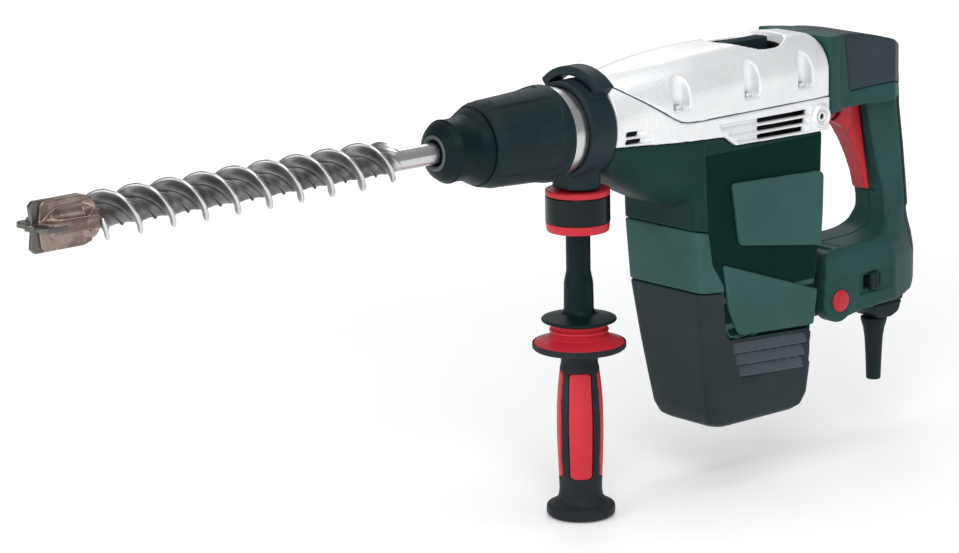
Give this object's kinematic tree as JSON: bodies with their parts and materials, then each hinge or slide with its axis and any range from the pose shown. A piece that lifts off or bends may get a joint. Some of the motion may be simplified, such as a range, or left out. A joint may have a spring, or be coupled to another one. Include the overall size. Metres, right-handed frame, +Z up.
{
  "type": "rotary hammer",
  "caption": "Heavy rotary hammer with a fluted cross-head bit, locking sleeve, swivelling side handle, upright motor and a sprung D-shaped rear handle.",
  "frame": {"origin": "on the flat underside of the motor base cap, straight below the tool axis at the motor shaft", "axes": "+Z up, the bit points along -X, the side with the slider faces -Y"},
  "size_m": [0.963, 0.098, 0.3895],
  "materials": {
    "green": "fine texture",
    "black": "satin",
    "soft_black": "matt soft touch",
    "red": "satin",
    "silver": "fine metallic paint",
    "neck_metal": "turned",
    "bit_steel": "ground lands, blasted flutes",
    "brazed_steel": "heat tinted",
    "steel": "machined",
    "light_alloy": "machined",
    "copper": "turned",
    "carbon": "matt"
  },
  "bodies": {
    "housing": {"front_neck": "neck_metal", "spindle_bearing": "steel", "front_housing": "silver", "top_cover": "silver", "gear_housing": "green", "motor_housing": "green", "base_cap": "black", "cover_screw_left_1": "steel", "cover_screw_left_2": "steel", "cover_screw_left_3": "steel", "cover_screw_right_1": "steel", "cover_screw_right_2": "steel", "cover_screw_right_3": "steel", "stator": "steel", "upper_motor_bearing": "steel", "lower_motor_bearing": "steel", "carbon_brush_left": "carbon", "carbon_brush_right": "carbon", "pivot_pin": "red"},
    "spindle": {"tool_holder": "steel", "locking_roller_top": "steel", "locking_roller_bottom": "steel", "sleeve_spring": "steel", "spindle_tube": "steel", "crown_gear": "steel", "dust_cap": "soft_black"},
    "sleeve": {"locking_sleeve": "soft_black"},
    "bit": {"bit_body": "bit_steel", "cutter_head": "brazed_steel"},
    "beater": {"beat_piece": "steel"},
    "ram": {"striker": "steel"},
    "piston_body": {"piston": "light_alloy"},
    "rod": {"connecting_rod": "steel"},
    "crank": {"crank_gear": "steel"},
    "intermediate": {"intermediate_gear": "steel"},
    "armature": {"rotor": "steel", "commutator": "copper", "cooling_fan": "black"},
    "knob": {"selector_knob": "black"},
    "side_clamp": {"clamp_band": "black", "clamp_saddle": "red", "clamp_collar": "black", "collar_ring": "red"},
    "side_grip": {"handle_stem": "black", "hand_guard": "red", "grip_cover": "soft_black", "grip_core": "red"},
    "rear_handle": {"handle_left": "green", "handle_right": "green", "grip_pad": "soft_black", "rear_cap": "soft_black", "switch_module": "black", "cable_gland": "black", "strain_relief": "soft_black"},
    "trigger_body": {"trigger": "red"},
    "lock_lever": {"trigger_lock": "red"},
    "slider": {"mode_slider": "black"}
  },
  "joints": [
    {"name": "spindle_spin", "type": "hinge", "parent": "housing", "child": "spindle", "pos_m": [-0.19, 0, 0.28], "axis": [1, 0, 0], "continuous": true},
    {"name": "sleeve_pull", "type": "slide", "parent": "spindle", "child": "sleeve", "axis": [1, 0, 0], "range_m": [0, 0.01], "stiffness_N_per_m": 1000, "springref_m": -0.005, "deforming": ["sleeve_spring"]},
    {"name": "bit_slide", "type": "slide", "parent": "spindle", "child": "bit", "axis": [-1, 0, 0], "range_m": [0, 0.012]},
    {"name": "beater_slide", "type": "slide", "parent": "spindle", "child": "beater", "axis": [1, 0, 0], "range_m": [0, 0.008]},
    {"name": "ram_slide", "type": "slide", "parent": "housing", "child": "ram", "axis": [1, 0, 0], "range_m": [0, 0.015]},
    {"name": "piston_stroke", "type": "slide", "parent": "housing", "child": "piston_body", "axis": [1, 0, 0], "range_m": [0, 0.036]},
    {"name": "rod_swing", "type": "hinge", "parent": "piston_body", "child": "rod", "pos_m": [-0.052, 0, 0.28], "axis": [0, 0, 1], "range_deg": [-14, 14]},
    {"name": "rotor_spin", "type": "hinge", "parent": "housing", "child": "armature", "pos_m": [0, 0, 0.28], "axis": [0, 0, 1], "continuous": true},
    {"name": "crank_spin", "type": "hinge", "parent": "housing", "child": "crank", "pos_m": [0.04, 0, 0.28], "axis": [0, 0, 1], "continuous": true},
    {"name": "intermediate_spin", "type": "hinge", "parent": "housing", "child": "intermediate", "pos_m": [-0.044, 0, 0.28], "axis": [0, 0, 1], "continuous": true},
    {"name": "knob_turn", "type": "hinge", "parent": "housing", "child": "knob", "pos_m": [0.023, 0, 0.28], "axis": [0, 0, 1], "range_deg": [0, 90]},
    {"name": "clamp_swivel", "type": "hinge", "parent": "housing", "child": "side_clamp", "pos_m": [-0.19, 0, 0.28], "axis": [1, 0, 0], "continuous": true},
    {"name": "grip_turn", "type": "hinge", "parent": "side_clamp", "child": "side_grip", "pos_m": [-0.1709, 0, 0.28], "axis": [0, 0, 1], "continuous": true},
    {"name": "handle_rock", "type": "hinge", "parent": "housing", "child": "rear_handle", "pos_m": [0.109, 0, 0.089], "axis": [0, 1, 0], "range_deg": [-0.3, 1], "stiffness_Nm_per_rad": 1500},
    {"name": "trigger_pull", "type": "hinge", "parent": "rear_handle", "child": "trigger_body", "pos_m": [0.155, 0, 0.262], "axis": [0, -1, 0], "range_deg": [0, 6], "stiffness_Nm_per_rad": 3, "springref_deg": -5.73},
    {"name": "lock_swing", "type": "hinge", "parent": "rear_handle", "child": "lock_lever", "pos_m": [0.138, 0, 0.264], "axis": [0, -1, 0], "range_deg": [0, 12]},
    {"name": "mode_slide", "type": "slide", "parent": "rear_handle", "child": "slider", "axis": [1, 0, 0], "range_m": [-0.005, 0.005]}
  ],
  "couplings": [
    {"joint": "rotor_spin", "follows": "spindle_spin", "ratio": 14},
    {"joint": "crank_spin", "follows": "spindle_spin", "ratio": -3.5},
    {"joint": "intermediate_spin", "follows": "spindle_spin", "ratio": -3.1111}
  ]
}
